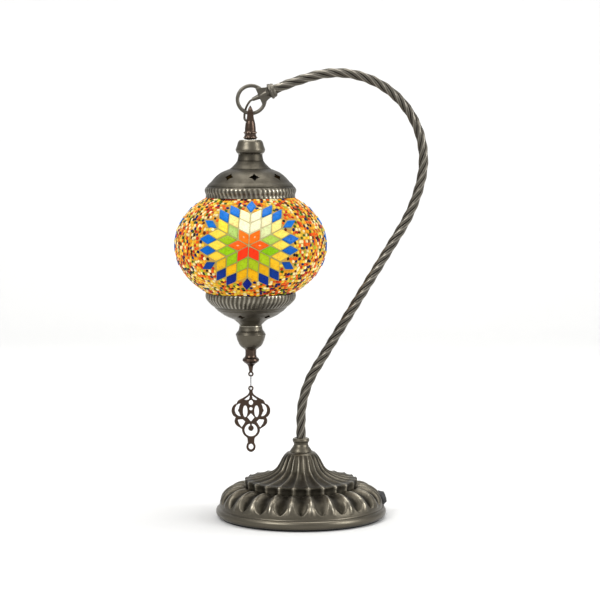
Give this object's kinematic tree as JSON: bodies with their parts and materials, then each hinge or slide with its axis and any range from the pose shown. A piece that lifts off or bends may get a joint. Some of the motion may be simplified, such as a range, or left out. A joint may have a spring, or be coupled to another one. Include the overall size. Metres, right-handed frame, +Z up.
{
  "type": "mosaic glass table lamp",
  "caption": "Turkish style table lamp: fluted brass base, twisted swan neck with a ring, and a mosaic glass globe that hangs from it with a filigree pendant below.",
  "frame": {"origin": "middle of the foot, on the surface the lamp stands on", "axes": "+Z up; -X towards the globe, which hangs beside the stem; -Y is the front that the picture shows"},
  "size_m": [0.2166, 0.1464, 0.3842],
  "materials": {
    "antique_brass": "aged, satin",
    "neck_bronze": "aged, polished crests",
    "copper_brown": "dark copper plating",
    "steel": "zinc plated",
    "cast_iron": "raw",
    "felt": "felt",
    "black_plastic": "matt",
    "porcelain": "glazed",
    "lead_cover": "matt",
    "contact_brass": "plain",
    "bulb_metal": "spun",
    "bulb_glass": "clear",
    "led_filament": "glowing",
    "clear_glass": "blown",
    "grout": "matt",
    "seed_beads": "glass beads",
    "red_glass": "cut glass",
    "green_glass": "cut glass",
    "yellow_glass": "cut glass",
    "blue_glass": "cut glass",
    "thread": "twisted thread"
  },
  "bodies": {
    "stand": {"base_shell": "antique_brass", "base_weight": "cast_iron", "base_plate": "steel", "felt_pad": "felt", "plate_screws": "steel", "cable_grommet": "black_plastic", "connector_block": "porcelain", "stem_nipple": "steel", "stem_washer": "steel", "stem_nut": "steel", "stem_collar": "antique_brass", "swan_neck": "neck_bronze", "neck_lead": "lead_cover", "arm_end": "neck_bronze"},
    "hanger": {"hanger": "copper_brown", "ring_lead": "lead_cover"},
    "shade": {"drop_lead": "lead_cover", "shade_nipple": "steel", "top_nut": "antique_brass", "top_cap": "antique_brass", "cap_washer": "steel", "cap_nut": "steel", "top_clips": "steel", "lamp_holder": "black_plastic", "holder_sleeve": "contact_brass", "bulb_cap": "bulb_metal", "bulb_glass": "bulb_glass", "bulb_stem": "bulb_glass", "bulb_filaments": "led_filament", "glass_globe": "clear_glass", "grout_layer": "grout", "bead_layer": "seed_beads", "red_tiles": "red_glass", "green_tiles": "green_glass", "yellow_tiles": "yellow_glass", "blue_tiles": "blue_glass", "bottom_cap": "antique_brass", "bottom_clips": "steel", "bottom_nut": "antique_brass", "finial": "copper_brown", "finial_screw": "steel"},
    "thread": {"pendant_thread": "thread"},
    "pendant": {"pendant_loop": "thread", "pendant": "copper_brown"}
  },
  "joints": [
    {"name": "hanger_swing", "type": "hinge", "parent": "stand", "child": "hanger", "pos_m": [-0.043, 0, 0.34615], "axis": [1, 0, 0], "range_deg": [-45, 45], "deforming": ["ring_lead"]},
    {"name": "shade_turn", "type": "hinge", "parent": "hanger", "child": "shade", "pos_m": [-0.043, 0, 0.3], "axis": [0, 0, 1], "range_deg": [-90, 90]},
    {"name": "thread_swing", "type": "hinge", "parent": "shade", "child": "thread", "pos_m": [-0.043, 0, 0.1217], "axis": [1, 0, 0], "range_deg": [-60, 60]},
    {"name": "pendant_turn", "type": "hinge", "parent": "thread", "child": "pendant", "pos_m": [-0.043, 0, 0.115], "axis": [0, 0, 1], "range_deg": [-180, 180]}
  ]
}
